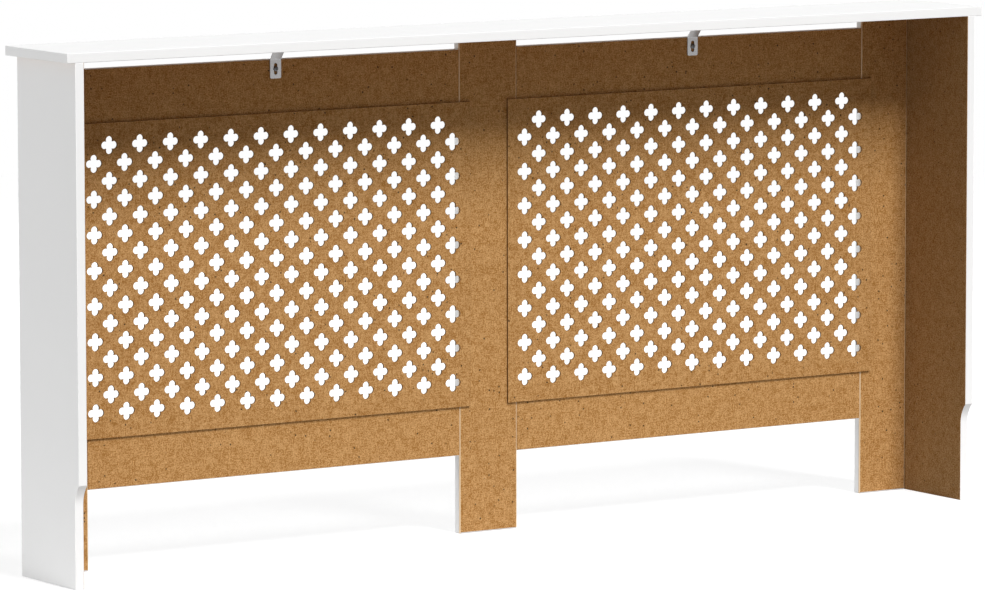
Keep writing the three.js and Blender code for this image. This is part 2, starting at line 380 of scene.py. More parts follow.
def bare_board(name, tint=(1.0, 1.0, 1.0), coarse=1.0):
    """Fibreboard: matted fibres, pale and dark strands, slow changes of tone and dark specks."""
    finish = Finish(name)
    place = finish.place
    fibre = finish.noise(place, FIBRES / coarse, 4.0, 0.7)
    strands = finish.noise(finish.stretch(place, STRANDS), 1.0, 3.0, 0.6)
    crossings = finish.noise(finish.stretch(place, CROSSINGS), 1.0, 3.0, 0.6)
    mottle = finish.noise(place, MOTTLES, 4.0, 0.6)
    drift = finish.noise(place, BOARD_DRIFT, 3.0)
    grain = 4.2 * fibre + 1.2 * strands + 1.2 * crossings + 0.9 * mottle - 3.25

    wander = finish.noise(place, WANDERS, 2.0)
    bent = finish.shift(place, finish.dim(wander, WANDER_REACH))
    spread = finish.ramp(finish.cells(bent, SPECKS, "Distance"), *SPECK_EDGE)
    speck = (finish.chance(bent, SPECKS) > SPECK_LEAST) * (1 - spread)
    tone = (0.96 + 0.07 * drift) * (1 - SPECK_DEPTH * speck)

    colour = tinted(colours().board, tint)
    fibres = finish.mix(grain, tinted(colour, DARK_FIBRE), tinted(colour, PALE_FIBRE))
    height = fibre + 0.3 * strands + 0.3 * crossings - speck
    return finish.surface(
        {
            "Base Color": finish.dim(fibres, tone),
            "Roughness": 0.82 + 0.12 * fibre,
            "Specular IOR Level": 0.25,
            "Normal": finish.bump(height, FIBRE_HEIGHT, 0.7),
        }
    )


def zinc_plate(name, tint=(1.0, 1.0, 1.0)):
    """Zinc, with the frosted patches of its crystals and fine scuffs."""
    finish = Finish(name)
    place = finish.place
    patch = finish.chance(place, CRYSTALS)
    scuff = finish.noise(finish.stretch(place, SCUFFS), 1.0, 3.0, 0.6)
    dulled = finish.noise(place, DULLED_PATCHES, 3.0)
    tone = 0.86 + 0.16 * patch + 0.12 * dulled
    return finish.surface(
        {
            "Base Color": finish.dim(tinted(colours().zinc, tint), tone),
            "Metallic": 0.9,
            "Roughness": 0.3 + 0.12 * patch + 0.14 * dulled,
            "Normal": finish.bump(scuff + 0.4 * patch, SCUFF_HEIGHT, 0.6),
        }
    )


def beech_wood(name, along):
    """Turned beech: streaks along the dowel and short dark rays."""
    finish = Finish(name)
    place = finish.place
    fine = tuple(STREAKS_ALONG if axis == along else STREAKS_ACROSS for axis in range(3))
    broad = tuple(BANDS_ALONG if axis == along else BANDS_ACROSS for axis in range(3))
    streak = finish.noise(finish.stretch(place, fine), 1.0, 4.0, 0.65)
    band = finish.noise(finish.stretch(place, broad), 1.0, 2.0)
    rays = finish.ramp(finish.noise(finish.stretch(place, fine), 3.0, 2.0), *RAY_EDGE)
    tone = 0.78 + 0.25 * streak + 0.2 * band - 0.22 * rays
    return finish.surface(
        {
            "Base Color": finish.dim(tuple(colours().beech), tone),
            "Roughness": 0.55 + 0.2 * streak,
            "Specular IOR Level": 0.35,
            "Normal": finish.bump(streak - rays, GRAIN_HEIGHT, 0.5),
        }
    )


def made_once(name, make, *details):
    """A material by name, made the first time that it is asked for."""
    return bpy.data.materials.get(name) or make(name, *details)


def paint():
    return made_once("satin_paint", satin_paint)


def board():
    return made_once("bare_fibreboard", bare_board)


def painted_shade_side_board():
    """Bare board darkened and greyed for the inner faces of the side panels: painted shade,
    standing for the shade inside the cabinet.
    """
    return made_once("bare_side_board", bare_board, (0.76, 0.82, 0.92))


def thin_board():
    """The grilles' hardboard has a coarser fibre."""
    return made_once("bare_hardboard", bare_board, (0.97, 0.97, 0.97), 0.8)


def cut_edge():
    """Where a grille is cut, its edge is dark."""
    return made_once("cut_board_edge", bare_board, (0.4, 0.4, 0.4), 0.7)


def sealed_edge():
    """Thin paint through which the board shows, on the rear arrises of the stiles."""
    return made_once("sealed_edge", satin_paint, (1.03, 0.78, 0.51))


def coated_edge():
    """White paint made brighter for the edges that face the wall: painted light, so that they show
    as bright as the top, which the key light lights more.
    """
    return made_once("coated_edge", satin_paint, (1.16, 1.155, 1.15))


def zinc():
    return made_once("zinc_plate", zinc_plate)


def dull_zinc():
    """Zinc darkened to three tenths for the screws: painted shade, for the dark in the slots of
    the brackets.
    """
    return made_once("dull_zinc", zinc_plate, (0.3, 0.3, 0.3))


# ---- Making pieces ----


def add_object(name, mesh):
    made = bpy.data.objects.new(name, mesh)
    bpy.context.scene.collection.objects.link(made)
    return made


def shade(bm):
    """Flat sides stay flat. What joins them is shaded round, up to a sharp angle."""
    bm.normal_update()
    for face in bm.faces:
        face.smooth = max(abs(part) for part in face.normal) < FLAT
    for edge in bm.edges:
        edge.smooth = not edge.is_manifold or edge.calc_face_angle(0) < SHARP_ANGLE


def to_mesh(bm, name, materials):
    bmesh.ops.recalc_face_normals(bm, faces=bm.faces)
    shade(bm)
    mesh = bpy.data.meshes.new(name)
    bm.to_mesh(mesh)
    bm.free()
    for material in materials:
        mesh.materials.append(material)
    return mesh


def dress(name, mesh, nodes):
    """Puts a piece in place of the nodes that it stands for."""
    piece = add_object(name, mesh)
    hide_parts(*nodes)
    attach(piece, "root")


def points_of(geometry):
    """The points among the points, edges and faces that an operation gave back."""
    return [part for part in geometry if isinstance(part, bmesh.types.BMVert)]


def extrude(outline, upright, low, high):
    """A prism. `upright` turns (u, v, w) into a place, with w from low to high."""
    bm = bmesh.new()
    foot = bm.faces.new([bm.verts.new(upright(u, v, low)) for u, v in outline])
    grown = bmesh.ops.extrude_face_region(bm, geom=[foot])["geom"]
    rise = Vector(upright(0, 0, high)) - Vector(upright(0, 0, low))
    bmesh.ops.translate(bm, verts=points_of(grown), vec=rise)
    bmesh.ops.recalc_face_normals(bm, faces=bm.faces)
    return bm


def all_edges(_edge):
    return True


def round_edges(bm, radius, steps, picked=all_edges):
    """Rounds the sharp edges among those that are picked."""
    sharp = [e for e in bm.edges if e.is_manifold and e.calc_face_angle(0) > SHARP_ANGLE]
    bmesh.ops.bevel(
        bm,
        geom=[edge for edge in sharp if picked(edge)],
        offset=radius,
        offset_type="OFFSET",
        segments=steps,
        profile=0.5,
        affect="EDGES",
        clamp_overlap=True,
    )


def across_x(u, v, w):
    return (w, u, v)


def across_y(u, v, w):
    return (u, w, v)


def across_z(u, v, w):
    return (u, v, w)


def arc(centre, radius, start, end, steps):
    """Points on an arc, both ends among them. Angles are in radians."""
    angles = [start + (end - start) * i / steps for i in range(steps + 1)]
    return [(centre[0] + radius * math.cos(a), centre[1] + radius * math.sin(a)) for a in angles]


def rectangle(low, high):
    return [(low[0], low[1]), (high[0], low[1]), (high[0], high[1]), (low[0], high[1])]


# ---- Dowels and their bores ----

DOWEL_RADIUS = 4 * MM
DOWEL_FLUTES = 12
DOWEL_FLUTE_DEPTH = 0.35 * MM
DOWEL_BEVEL = 1.2 * MM
DOWEL_EASE = 0.05 * MM
SCREW_RADIUS = 2 * MM
SCREW_HEAD_RADIUS = 4 * MM
SCREW_HEAD_HEIGHT = 2.4 * MM
THREAD_PITCH = 1.6 * MM
THREAD_DEPTH = 0.45 * MM
THREAD_SHAPE = (0.2, 0.6, 0.8)  # where its root begins and ends and its crest is, in pitches
BORE_CLEARANCE = 0.3 * MM
BORE_SIDES = 24


def dowel_nodes():
    return sorted(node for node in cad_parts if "dowel" in node)


def screw_nodes():
    return sorted(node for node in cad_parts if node.endswith("_screw"))


def long_axis(node):
    """(axis, middle, half length) of a dowel or screw."""
    low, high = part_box(node)
    size = high - low
    along = max(range(3), key=lambda axis: size[axis])
    return along, (low + high) / 2, size[along] / 2


def turn_from_z(along):
    """Lays what stands along Z along another axis."""
    return Matrix.Rotation(math.pi / 2, 4, "XY"[along == 0]) if along < 2 else Matrix()


def boxes_meet(first, second):
    (low, high), (other_low, other_high) = first, second
    return all(low[axis] < other_high[axis] and other_low[axis] < high[axis] for axis in range(3))


def bore_cutter(board_node):
    """The bores that a board has for its dowels and screws, as one mesh of separate bars."""
    bm = bmesh.new()
    for node in dowel_nodes() + screw_nodes():
        if not boxes_meet(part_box(board_node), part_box(node)):
            continue
        along, middle, half = long_axis(node)
        radius = (DOWEL_RADIUS if "dowel" in node else SCREW_RADIUS) + BORE_CLEARANCE
        bmesh.ops.create_cone(
            bm,
            cap_ends=True,
            segments=BORE_SIDES,
            radius1=radius,
            radius2=radius,
            depth=2 * (half + BORE_CLEARANCE),
            matrix=Matrix.Translation(middle) @ turn_from_z(along),
        )
    return bm


def carve(mesh, bm, slot_index):
    """Cuts the solids of bm out of a mesh. The new faces take the material of that slot."""
    if not bm.faces:
        bm.free()
        return mesh
    for face in bm.faces:
        face.material_index = slot_index
    bmesh.ops.recalc_face_normals(bm, faces=bm.faces)
    tool_mesh = bpy.data.meshes.new("cutter")
    bm.to_mesh(tool_mesh)
    bm.free()
    for material in mesh.materials:
        tool_mesh.materials.append(material)
    tool = add_object("cutter", tool_mesh)
    blank = add_object("blank", mesh)
    cut = blank.modifiers.new("cut", "BOOLEAN")
    cut.object = tool
    cut.operation = "DIFFERENCE"
    cut.solver = "EXACT"
    evaluated = blank.evaluated_get(bpy.context.evaluated_depsgraph_get())
    carved = bpy.data.meshes.new_from_object(evaluated)
    for done in (blank, tool):
        bpy.data.objects.remove(done)
    bm = bmesh.new()
    bm.from_mesh(carved)
    shade(bm)
    bm.to_mesh(carved)
    bm.free()
    return carved


# ---- Boards ----

ARRIS_STEPS = 3
STILE_ARRIS = 2.4  # times the usual

# Places of the finishes in a board's list of materials
PAINTED, BARE, SEALED, PAINTED_LIGHT = range(4)


def make_board(node, bm, finish_of, arris_scale=1.0, bare=board):
    """Rounds the arrises of a board, finishes its faces, bores it and puts it in place."""
    round_edges(bm, sizes().arris * arris_scale, ARRIS_STEPS)
    bm.normal_update()
    for face in bm.faces:
        face.material_index = finish_of(face.normal)
    materials = (paint(), bare(), sealed_edge(), coated_edge())
    mesh = to_mesh(bm, node + ".board", materials)
    mesh = carve(mesh, bore_cutter(node), BARE)
    mesh.name = node + ".board"
    dress(node + ".board", mesh, [node])


def box_board(node, finish_of, arris_scale=1.0):
    low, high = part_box(node)
    bm = extrude(rectangle(low, high), across_z, low.z, high.z)
    make_board(node, bm, finish_of, arris_scale)


NOTCH_TOP = 160.5 * MM
NOTCH_DEPTH = 12.5 * MM
NOTCH_RADIUS = 47 * MM
NOTCH_STEPS = 16


def side_outline(low, high):
    """The side panel in Y and Z, with the notch that clears a skirting board."""
    notch_face = high.y - NOTCH_DEPTH
    cove_centre = notch_face + NOTCH_RADIUS
    rise = math.sqrt(NOTCH_RADIUS**2 - (cove_centre - high.y) ** 2)
    cove_foot = NOTCH_TOP - rise
    end = math.pi - math.atan2(rise, cove_centre - high.y)
    cove = arc((cove_centre, cove_foot), NOTCH_RADIUS, math.pi, end, NOTCH_STEPS)
    return [(low.y, low.z), (notch_face, low.z), *cove, (high.y, high.z), (low.y, high.z)]


# The next functions tell a face's finish from the way that it looks. A face of a rounded arris
# looks between the two sides, and these are the least parts of its normal that count.
SQUARELY = 0.9
PARTLY = 0.2
BARELY = 0.1


def shelf_finish(normal):
    """Bare below, with painted light on the edge toward the wall."""
    if normal.z < -FLAT:
        return BARE
    return PAINTED_LIGHT if normal.y > SQUARELY else PAINTED


def side_finish(inward):
    """Bare on the inner face, which looks along X the way of `inward`, and with painted light at
    the rear.
    """

    def finish_of(normal):
        if normal.x * inward > PARTLY:
            return BARE
        return PAINTED_LIGHT if normal.y > PARTLY else PAINTED

    return finish_of


def stile_finish(normal):
    """Bare at the rear, with sealed arrises on both sides of it."""
    if normal.y > FLAT:
        return BARE
    return SEALED if normal.y > BARELY and abs(normal.x) > BARELY else PAINTED


def rail_finish(normal):
    """Bare at the rear and at both ends, where it meets the stiles."""
    return BARE if normal.y > FLAT or abs(normal.x) > PARTLY else PAINTED


def make_shelf():
    box_board("top_shelf", shelf_finish)


def make_side_panels():
    for side, inward in zip(SIDES, (1, -1)):
        node = side + "_side_panel"
        low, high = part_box(node)
        bm = extrude(side_outline(low, high), across_x, low.x, high.x)
        # The inner faces take the darkened board, which is painted shade.
        make_board(node, bm, side_finish(inward), bare=painted_shade_side_board)


def make_frame():
    for node in ("centre_stile", "left_stile", "right_stile"):
        box_board(node, stile_finish, STILE_ARRIS)
    for side in SIDES:
        for rail in ("_top_rail", "_bottom_rail"):
            box_board(side + rail, rail_finish)


# ---- Grilles ----


def quatrefoil(centre, radius, reach, steps):
    """Four round lobes that meet in four cusps, going round from the cusp at lower right."""
    cusp = reach / 2 + math.sqrt(radius**2 / 2 - reach**2 / 4)
    half_turn = math.atan2(cusp, cusp - reach)
    points = []
    for lobe in range(4):
        facing = lobe * math.pi / 2
        middle = (centre[0] + reach * math.cos(facing), centre[1] + reach * math.sin(facing))
        points += arc(middle, radius, facing - half_turn, facing + half_turn, steps)[:-1]
    return points


def diamond(centre, half_width, half_height, steps):
    """The share of the lattice round one hole, with as many points as the hole has."""
    corners = [(half_width, 0), (0, half_height), (-half_width, 0), (0, -half_height)]
    points = []
    for lobe in range(4):
        before, tip, after = corners[lobe - 1], corners[lobe], corners[(lobe + 1) % 4]
        for i in range(steps):
            other = before if 2 * i < steps else after
            share = abs(1 - 2 * i / steps) / 2
            points.append(
                (
                    centre[0] + tip[0] + (other[0] - tip[0]) * share,
                    centre[1] + tip[1] + (other[1] - tip[1]) * share,
                )
            )
    return points


def lattice_centres(length, height):
    """Every second place of a grid round the middle of the panel's window."""
    size = sizes()
    reach = size.lobe_reach + size.lobe_radius + size.plain_border
    columns = math.floor((length / 2 - reach) / size.column_pitch)
    rows = math.floor((height - 2 * reach) / size.row_pitch) + 1
    top = (rows - 1) * size.row_pitch / 2
    return [
        (column * size.column_pitch, top - row * size.row_pitch)
        for column in range(-columns, columns + 1)
        for row in range(rows)
        if (column + columns + row) % 2 == 1
    ]


def grille_sheet(low, high, middle):
    """The pierced front face of a grille: a ring of faces round each hole, and plain sheet
    between those rings and the edge."""
    size = sizes()
    bm = bmesh.new()
    places = lattice_centres(high.x - low.x, high.z - low.z)
    centres = [(middle[0] + x, middle[1] + z) for x, z in places]
    for centre in centres:
        inner = quatrefoil(centre, size.lobe_radius, size.lobe_reach, size.lobe_steps)
        outer = diamond(centre, size.column_pitch, size.row_pitch, size.lobe_steps)
        rings = [[bm.verts.new(across_y(u, v, low.y)) for u, v in ring] for ring in (inner, outer)]
        for i in range(len(inner)):
            bm.faces.new((rings[0][i - 1], rings[1][i - 1], rings[1][i], rings[0][i]))
    bmesh.ops.remove_doubles(bm, verts=bm.verts, dist=TOUCHING)
    reach = size.lobe_reach + size.lobe_radius + TOUCHING
    spots = [Vector(across_y(*centre, low.y)) for centre in centres]
    open_edges = [edge for edge in bm.edges if edge.is_boundary]
    hole_points = set()
    for edge in open_edges:
        if any((edge.verts[0].co - spot).length < reach for spot in spots):
            hole_points.update(edge.verts)
    zigzag = [edge for edge in open_edges if edge.verts[0] not in hole_points]
    corners = [bm.verts.new(across_y(u, v, low.y)) for u, v in rectangle(low.xz, high.xz)]
    border = [bm.edges.new((corners[i - 1], corners[i])) for i in range(4)]
    bmesh.ops.triangle_fill(bm, use_beauty=True, edges=zigzag + border)
    return bm


def lies_flat(edge):
    """True for an edge in the front or rear face of a grille."""
    return abs(edge.verts[0].co.y - edge.verts[1].co.y) < TOUCHING


def make_grilles():
    window_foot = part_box("left_bottom_rail")[1].z
    window_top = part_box("left_top_rail")[0].z
    for side in SIDES:
        node = side + "_grille"
        low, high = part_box(node)
        middle = ((low.x + high.x) / 2, (window_foot + window_top) / 2)
        bm = grille_sheet(low, high, middle)
        grown = bmesh.ops.extrude_face_region(bm, geom=bm.faces[:])["geom"]
        bmesh.ops.translate(bm, verts=points_of(grown), vec=(0, high.y - low.y, 0))
        bmesh.ops.recalc_face_normals(bm, faces=bm.faces)
        bm.normal_update()
        round_edges(bm, sizes().hole_ease, 1, lies_flat)
        bm.normal_update()
        for face in bm.faces:
            toward = face.normal.y
            face.material_index = 0 if toward < -FLAT else 1 if toward > FLAT else 2
        mesh = to_mesh(bm, node + ".panel", (paint(), thin_board(), cut_edge()))
        dress(node + ".panel", mesh, [node])


# ---- Brackets ----

BRACKET_THICKNESS = 2 * MM
BRACKET_LEG = 30 * MM
BRACKET_REACH = 20 * MM
BRACKET_BEND = 2.5 * MM
BRACKET_CORNER = 2.5 * MM
BRACKET_EASE = 0.3 * MM
SLOT_LENGTH = 18 * MM
SLOT_WIDTH = 6 * MM
BEND_STEPS = 8
CORNER_STEPS = 6


def bent_strip(route, thickness, bend):
    """The outline of a strip that follows a route and bends to the right at each corner."""
    half = thickness / 2
    above, below = [], []
    for i, point in enumerate(route):
        into = (point - route[i - 1]).normalized() if i else None
        out = (route[i + 1] - point).normalized() if i + 1 < len(route) else None
        if into and out:
            turn = into.angle(out)
            reach = (bend + half) * math.tan(turn / 2)
            side = Vector((-into.y, into.x))
            centre = point - into * reach - side * (bend + half)
            start = math.atan2(side.y, side.x)
            above += arc(centre, bend + thickness, start, start - turn, BEND_STEPS)
            below += arc(centre, bend, start, start - turn, BEND_STEPS)
        else:
            run = into or out
            side = Vector((-run.y, run.x)) * half
            above.append(tuple(point + side))
            below.append(tuple(point - side))
    return above + below[::-1]


def slot_cutter(x, y, z):
    """The long hole in the bracket's leg, cut along Y."""
    straight = (SLOT_LENGTH - SLOT_WIDTH) / 2
    radius = SLOT_WIDTH / 2
    outline = arc((x, z + straight), radius, 0, math.pi, BORE_SIDES // 2)
    outline += arc((x, z - straight), radius, math.pi, 2 * math.pi, BORE_SIDES // 2)
    return extrude(outline, across_y, y - 2 * BRACKET_THICKNESS, y + 2 * BRACKET_THICKNESS)


def at_an_end(edge):
    """True for the edges through the strip's thickness at its two ends."""
    first, second = (vert.co for vert in edge.verts)
    thick = abs((first - second).length - BRACKET_THICKNESS) < TOUCHING
    return thick and abs(first.x - second.x) < TOUCHING


def make_brackets():
    for side in SIDES:
        node = side + "_bracket"
        low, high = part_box(node)
        bend_level = low.z + BRACKET_LEG
        half = BRACKET_THICKNESS / 2
        route = [
            Vector((low.y + half, low.z)),
            Vector((low.y + half, bend_level)),
            Vector((low.y + BRACKET_REACH, high.z - half)),
            Vector((high.y, high.z - half)),
        ]
        outline = bent_strip(route, BRACKET_THICKNESS, BRACKET_BEND)
        bm = extrude(outline, across_x, low.x, high.x)
        round_edges(bm, BRACKET_CORNER, CORNER_STEPS, at_an_end)
        mesh = to_mesh(bm, node + ".strap", (zinc(),))
        slot = slot_cutter((low.x + high.x) / 2, low.y + half, low.z + BRACKET_LEG / 2)
        mesh = carve(mesh, slot, 0)
        mesh = carve(mesh, bore_cutter(node), 0)
        bm = bmesh.new()
        bm.from_mesh(mesh)
        bmesh.ops.remove_doubles(bm, verts=bm.verts, dist=TOUCHING / 2)
        round_edges(bm, BRACKET_EASE, 2)
        mesh = to_mesh(bm, node + ".strap", (zinc(),))
        dress(node + ".strap", mesh, [node])


# ---- Screws and dowels ----

HEAD_STEPS = 8
HEAD_DOME = 0.65  # share of the head's height that is domed
HEAD_BLUNTNESS = 0.7  # 1 for a round dome, and less for a flatter one
HEAD_EASE = 0.2 * MM
NECK_LENGTH = 2.2 * MM
NECK_RADIUS = SCREW_RADIUS - 0.1 * MM
POINT_LENGTH = 3 * MM
SCREW_SIDES = 32
RECESS_WIDTH = 1.1 * MM
RECESS_REACH = 2.3 * MM
RECESS_DEPTH = 1.3 * MM
RECESS_FOOT = 0.35  # length of its foot as a share of its top


def lathe(profile, sides):
    """Turns a profile of (radius, height), from axis to axis, round Z."""
    bm = bmesh.new()
    turns = [2 * math.pi * i / sides for i in range(sides)]
    rings = []
    for radius, height in profile:
        if radius < TOUCHING / 10:
            rings.append([bm.verts.new((0, 0, height))])
            continue
        ring = [(radius * math.cos(a), radius * math.sin(a), height) for a in turns]
        rings.append([bm.verts.new(point) for point in ring])
    for first, second in zip(rings, rings[1:]):
        for i in range(sides):
            near = [first[0]] if len(first) == 1 else [first[i - 1], first[i]]
            far = [second[0]] if len(second) == 1 else [second[i], second[i - 1]]
            bm.faces.new(near + far)
    return bm


def screw_profile(length):
    """Domed pan head, plain neck, a thread of rings and a point. The head's seat is at 0."""
    profile = []
    for i in range(HEAD_STEPS + 1):
        angle = math.pi / 2 * i / HEAD_STEPS
        radius = SCREW_HEAD_RADIUS * math.sin(angle) ** HEAD_BLUNTNESS
        share = 1 - HEAD_DOME + HEAD_DOME * math.cos(angle)
        profile.append((radius, -SCREW_HEAD_HEIGHT * share))
    profile += [(SCREW_HEAD_RADIUS, -HEAD_EASE), (SCREW_HEAD_RADIUS - HEAD_EASE, 0)]
    profile += [(NECK_RADIUS, 0), (NECK_RADIUS, NECK_LENGTH)]
    core = SCREW_RADIUS - THREAD_DEPTH
    tip = length - POINT_LENGTH
    turns = max(1, round((tip - NECK_LENGTH) / THREAD_PITCH))
    pitch = (tip - NECK_LENGTH) / turns
    for i in range(turns):
        start = NECK_LENGTH + i * pitch
        root, rise, crest = (start + share * pitch for share in THREAD_SHAPE)
        profile += [(core, root), (core, rise), (SCREW_RADIUS, crest)]
    profile += [(core, tip + 0.1 * MM), (core * 0.6, tip + POINT_LENGTH / 2), (0, length)]
    return profile


def recess_cutter(turn):
    """One of the two wedges that cross in the recess of a screw's head."""
    top = -SCREW_HEAD_HEIGHT
    above = top - 1 * MM
    foot = RECESS_REACH * RECESS_FOOT
    outline = [
        (-RECESS_REACH, above),
        (RECESS_REACH, above),
        (RECESS_REACH, top),
        (foot, top + RECESS_DEPTH),
        (-foot, top + RECESS_DEPTH),
        (-RECESS_REACH, top),
    ]
    bm = extrude(outline, across_y, -RECESS_WIDTH / 2, RECESS_WIDTH / 2)
    bmesh.ops.transform(bm, matrix=Matrix.Rotation(turn, 4, "Z"), verts=bm.verts)
    return bm


def make_screws():
    for node in screw_nodes():
        low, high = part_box(node)
        upward = node.endswith("_shelf_screw")
        along = 2 if upward else 1
        seat = (low + high) / 2
        length = high[along] - low[along] - SCREW_HEAD_HEIGHT
        seat[along] = low.z + SCREW_HEAD_HEIGHT if upward else high.y - SCREW_HEAD_HEIGHT
        mesh = to_mesh(lathe(screw_profile(length), SCREW_SIDES), node, (dull_zinc(),))
        for turn in (0, math.pi / 2):
            mesh = carve(mesh, recess_cutter(turn), 0)
        mesh.transform(Matrix.Translation(seat) @ turn_from_z(along))
        mesh.name = node + ".pan_head"
        dress(node + ".pan_head", mesh, [node])


def fluted_bar(half):
    """A dowel along Z, with flutes to let glue out and bevelled ends."""
    bm = bmesh.new()
    wave = (0.0, 0.0, 1.0, 0.0)  # one flute, as shares of its depth
    sides = DOWEL_FLUTES * len(wave)
    drawn_in = DOWEL_BEVEL / 2
    waist = half - DOWEL_BEVEL
    rings = []
    for height, drawn in ((-half, drawn_in), (-waist, 0), (waist, 0), (half, drawn_in)):
        ring = []
        for i in range(sides):
            radius = DOWEL_RADIUS - DOWEL_EASE - DOWEL_FLUTE_DEPTH * wave[i % len(wave)] - drawn
            angle = 2 * math.pi * i / sides
            point = (radius * math.cos(angle), radius * math.sin(angle), height)
            ring.append(bm.verts.new(point))
        rings.append(ring)
    for first, second in zip(rings, rings[1:]):
        for i in range(sides):
            bm.faces.new((first[i - 1], first[i], second[i], second[i - 1]))
    bm.faces.new(rings[0][::-1])
    bm.faces.new(rings[-1])
    return bm


def make_dowels():
    for node in dowel_nodes():
        along, middle, half = long_axis(node)
        wood = made_once("beech_along_" + "xyz"[along], beech_wood, along)
        mesh = to_mesh(fluted_bar(half), node + ".fluted", (wood,))
        mesh.transform(Matrix.Translation(middle) @ turn_from_z(along))
        dress(node + ".fluted", mesh, [node])


# ---- Stage ----

FLOOR_HALF = 40.0
FLOOR_DROP = 0.1 * MM  # under the feet
FLOOR_SEEN = 0.36  # share of the lamps' light that shows on the floor, and so the shadow's depth
FLOOR_LIFT = 0.76  # what the floor shows besides
FLOOR_FADE = (3.0, 6.0)  # from the object to plain white
# The floor sends back more light beside the object than far off, though it shows the same: a
# painted pool of light, seen only by the light that surfaces gather, which brightens the lower
# parts of the boards.
NEAR_BOUNCE = 0.62  # share of light that the floor sends back, beside the object and far off
FAR_BOUNCE = 0.2
BOUNCE_FADE = (0.25, 0.9)
BOUNCE_SHAPE = (0.4, 1, 0)  # the near part is longer along X
SKY = 0.22
KEY_ELEVATION = math.radians(53.4)
KEY_DISTANCE = 20.0
KEY_SHIFT = -1.5  # toward the left end
KEY_WIDTH = 4.2
KEY_HEIGHT = 7.1
KEY_LEVEL = 1.11
END_LEVEL = 0.49
FRONT_LEVEL = 0.63


def seen_directly(shading):
    """1 for rays of the camera and of gloss or glass, and 0 for the light that surfaces gather."""
    path = shading.node("ShaderNodeLightPath")
    camera, gloss, glass = (
        Field(shading, path.outputs[name])
        for name in ("Is Camera Ray", "Is Glossy Ray", "Is Transmission Ray")
    )
    return camera.at_least(gloss).at_least(glass)


def floor_material():
    """Pale floor that keeps a shadow near the object and is plain white further off."""
    material = bpy.data.materials.new("pale_floor")
    material.use_nodes = True
    shading = Shading(material.node_tree)
    white = (1.0, 1.0, 1.0)

    def diffuse(level):
        return shading.field("ShaderNodeBsdfDiffuse", {}, {"Color": (level,) * 3})

    def glow(level):
        return shading.field("ShaderNodeEmission", {}, {"Color": white, "Strength": level})

    def blend(factor, first, second):
        return shading.field("ShaderNodeMixShader", {}, {0: factor, 1: first, 2: second})

    place = shading.field("ShaderNodeTexCoord", output="Object")
    near = shading.field("ShaderNodeAddShader", {}, {0: diffuse(FLOOR_SEEN), 1: glow(FLOOR_LIFT)})
    shown = blend(shading.ramp(shading.length(place), *FLOOR_FADE), near, glow(1.0))
    spread = shading.length(shading.stretch(place, BOUNCE_SHAPE))
    bounced = blend(shading.ramp(spread, *BOUNCE_FADE), diffuse(NEAR_BOUNCE), diffuse(FAR_BOUNCE))
    surface = blend(seen_directly(shading), bounced, shown)
    shading.node("ShaderNodeOutputMaterial", {}, {"Surface": surface})
    return material


def make_floor():
    bm = bmesh.new()
    bmesh.ops.create_grid(bm, x_segments=8, y_segments=8, size=FLOOR_HALF)
    bmesh.ops.translate(bm, verts=bm.verts, vec=(0, 0, -FLOOR_DROP))
    mesh = bpy.data.meshes.new("floor")
    bm.to_mesh(mesh)
    bm.free()
    mesh.materials.append(floor_material())
    add_object("floor", mesh)


def make_world():
    world = bpy.data.worlds.new("studio")
    world.use_nodes = True
    bpy.context.scene.world = world
    shading = Shading(world.node_tree)
    seen = seen_directly(shading)
    strength = seen + (1 - seen) * SKY
    inputs = {"Color": (1.0, 1.0, 1.0), "Strength": strength}
    light = shading.field("ShaderNodeBackground", {}, inputs)
    shading.node("ShaderNodeOutputWorld", {}, {"Surface": light})


def aim(lamp, place, target):
    lamp.location = place
    lamp.rotation_mode = "QUATERNION"
    lamp.rotation_quaternion = (Vector(target) - Vector(place)).to_track_quat("-Z", "Y")
    lamp.visible_camera = False


def add_panel(name, place, target, width, height, level):
    """A rectangular lamp that gives `level` on a surface that faces it at the target."""
    data = bpy.data.lights.new(name, "AREA")
    data.shape = "RECTANGLE"
    data.size, data.size_y = width, height
    distance = (Vector(place) - Vector(target)).length
    data.energy = level * math.pi**2 * distance**2
    lamp = bpy.data.objects.new(name, data)
    bpy.context.scene.collection.objects.link(lamp)
    aim(lamp, place, target)


def make_lamps():
    """A tall key light behind and above gives the shelf its soft shadow. The others fill in."""
    high = KEY_DISTANCE * math.sin(KEY_ELEVATION)
    far = KEY_DISTANCE * math.cos(KEY_ELEVATION)
    add_panel("key", (KEY_SHIFT, far, high), (0, 0, 0), KEY_WIDTH, KEY_HEIGHT, KEY_LEVEL)
    add_panel("left_fill", (-4.0, -0.2, 0.5), (-0.85, 0, 0.4), 0.15, 1.0, END_LEVEL)
    add_panel("right_fill", (4.0, -0.2, 0.5), (0.85, 0, 0.4), 0.15, 1.0, END_LEVEL)
    add_panel("front_fill", (0, -5.0, 0.6), (0, 0, 0.4), 3.0, 1.0, FRONT_LEVEL)


